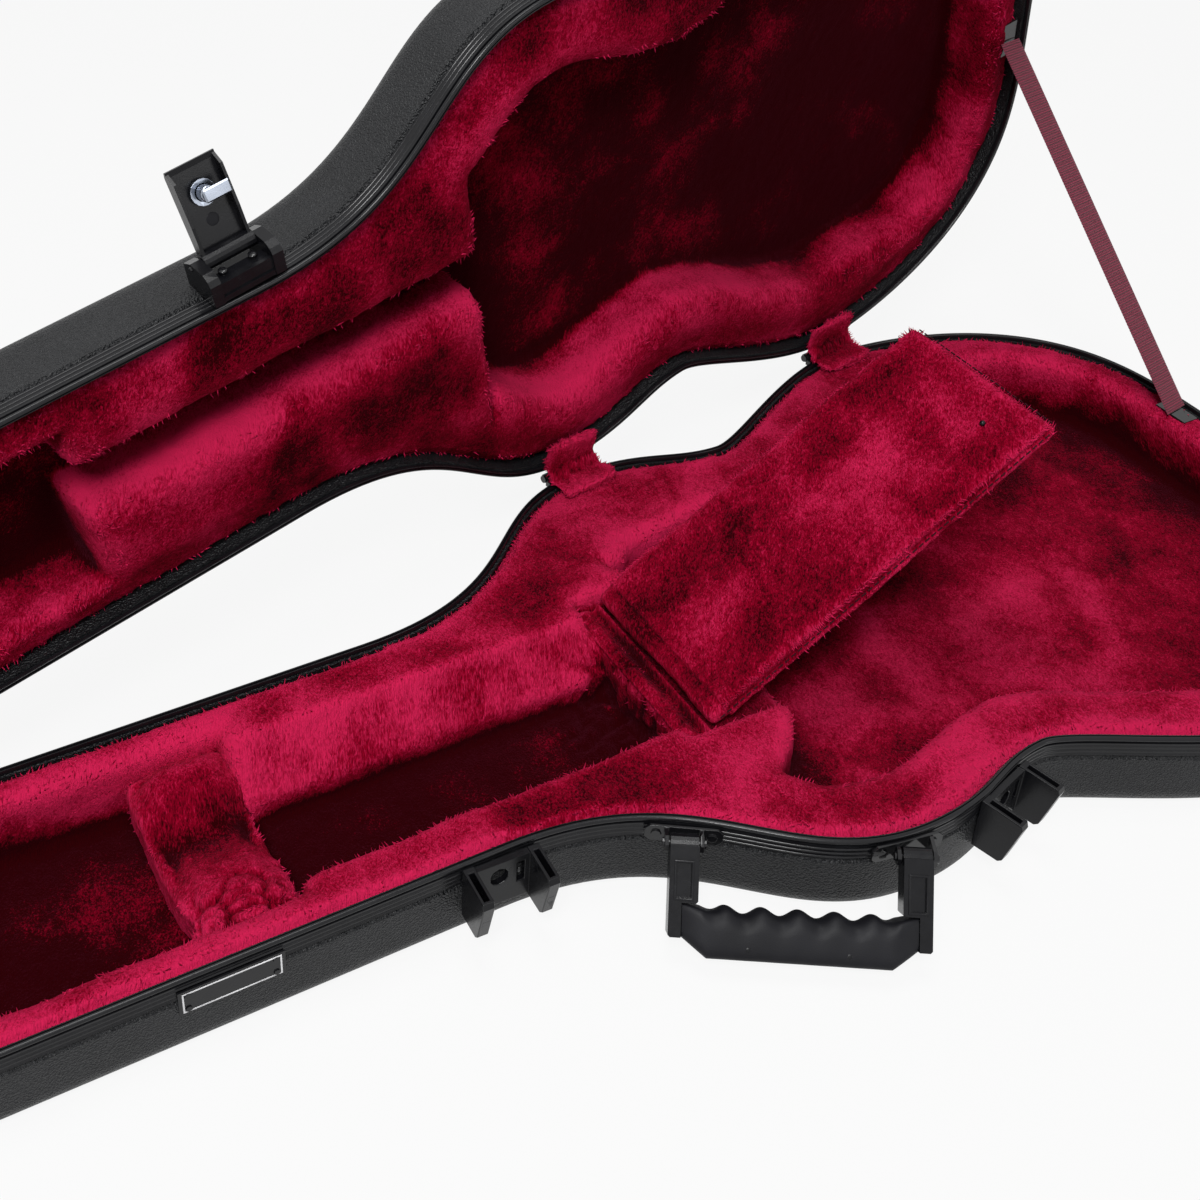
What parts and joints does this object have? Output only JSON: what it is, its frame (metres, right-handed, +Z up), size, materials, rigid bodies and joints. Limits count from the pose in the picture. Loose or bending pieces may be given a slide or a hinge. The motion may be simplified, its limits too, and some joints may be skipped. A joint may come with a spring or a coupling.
{
  "type": "electric guitar flight case",
  "caption": "Open hard-shell flight case for an electric guitar: waisted shells, plush-lined tray and lid, box flap, latches, stay strap, hinged handle.",
  "frame": {"origin": "on the flat underside, on the centre line at the upper bout", "axes": "+X along the neck towards the tail, +Y across towards the hinges, +Z up"},
  "size_m": [1.0616, 0.492, 0.5143],
  "materials": {
    "shell": "pebbled matte",
    "edge_profile": "ribbed satin",
    "plush": "crushed pile",
    "latch_plastic": "satin moulded",
    "lacquered_steel": "gloss black",
    "name_plate": "satin black",
    "grip_rubber": "matte",
    "chrome": "polished",
    "webbing": "ribbed weave"
  },
  "bodies": {
    "base": {"base_shell": "shell", "base_rim": "edge_profile", "base_lining": "plush", "neck_rest": "plush", "name_plate": "name_plate", "strap_anchor_base": "lacquered_steel", "lid_stay_strap": "webbing", "flap_hinge_strip": "plush", "hinge_leaf_base_1": "lacquered_steel", "hinge_leaf_base_2": "lacquered_steel", "hinge_pin_1": "lacquered_steel", "hinge_pin_2": "lacquered_steel", "hinge_cover_1": "plush", "hinge_cover_2": "plush", "handle_bracket_neck": "lacquered_steel", "handle_bracket_body": "lacquered_steel", "handle_pin_neck": "lacquered_steel", "handle_pin_body": "lacquered_steel", "catch_head": "latch_plastic", "catch_neck": "latch_plastic", "catch_waist": "latch_plastic", "catch_bout": "latch_plastic"},
    "lid": {"lid_shell": "shell", "lid_rim": "edge_profile", "lid_lining": "plush", "strap_anchor_lid": "lacquered_steel", "hinge_leaf_lid_1": "lacquered_steel", "hinge_leaf_lid_2": "lacquered_steel", "latch_bracket_head": "latch_plastic", "latch_bracket_neck": "latch_plastic", "latch_bracket_waist": "latch_plastic", "latch_bracket_bout": "latch_plastic", "latch_pin_head": "lacquered_steel", "latch_pin_neck": "lacquered_steel", "latch_pin_waist": "lacquered_steel", "latch_pin_bout": "lacquered_steel"},
    "flap": {"compartment_flap": "plush"},
    "handle": {"handle_frame": "latch_plastic", "handle_grip": "grip_rubber"},
    "lock": {"lock_cylinder": "chrome", "lock_cam": "chrome"},
    "lever_head": {"latch_lever_head": "latch_plastic"},
    "lever_neck": {"latch_lever_neck": "latch_plastic", "lock_nut": "chrome"},
    "lever_waist": {"latch_lever_waist": "latch_plastic"},
    "lever_bout": {"latch_lever_bout": "latch_plastic"}
  },
  "joints": [
    {"name": "lid_hinge", "type": "hinge", "parent": "base", "child": "lid", "pos_m": [-0.0415, 0.1639, 0.052], "axis": [0.986, 0.1666, 0], "range_deg": [0, 86.2], "deforming": ["hinge_cover_1", "hinge_cover_2", "lid_stay_strap"]},
    {"name": "flap_hinge", "type": "hinge", "parent": "base", "child": "flap", "pos_m": [-0.07, 0, 0.0475], "axis": [0, 1, 0], "range_deg": [-120, 31.05]},
    {"name": "lever_hinge_head", "type": "hinge", "parent": "lid", "child": "lever_head", "pos_m": [-0.58902, 0.07961, 0.20929], "axis": [0.9508, 0.1421, 0.2752], "range_deg": [-10, 110]},
    {"name": "lever_hinge_neck", "type": "hinge", "parent": "lid", "child": "lever_neck", "pos_m": [-0.24856, 0.13235, 0.28021], "axis": [0.9673, 0.1496, 0.2046], "range_deg": [-10, 110]},
    {"name": "lever_hinge_waist", "type": "hinge", "parent": "lid", "child": "lever_waist", "pos_m": [-0.01451, 0.16433, 0.39253], "axis": [0.9792, 0.1726, -0.1069], "range_deg": [-10, 110]},
    {"name": "lever_hinge_bout", "type": "hinge", "parent": "lid", "child": "lever_bout", "pos_m": [0.22718, 0.20008, 0.46792], "axis": [0.9695, 0.1753, -0.1712], "range_deg": [-10, 110]},
    {"name": "lock_turn", "type": "hinge", "parent": "lever_neck", "child": "lock", "pos_m": [-0.2563, 0.14424, 0.30814], "axis": [0.0907, -0.9581, 0.2717], "range_deg": [0, 90]},
    {"name": "handle_swing", "type": "hinge", "parent": "base", "child": "handle", "pos_m": [-0.12558, -0.11182, 0.0462], "axis": [0.8515, -0.5243, 0], "range_deg": [-95, 6]}
  ],
  "couplings": [
    {"joint": "flap_hinge", "follows": "lid_hinge", "ratio": 0.3596}
  ]
}
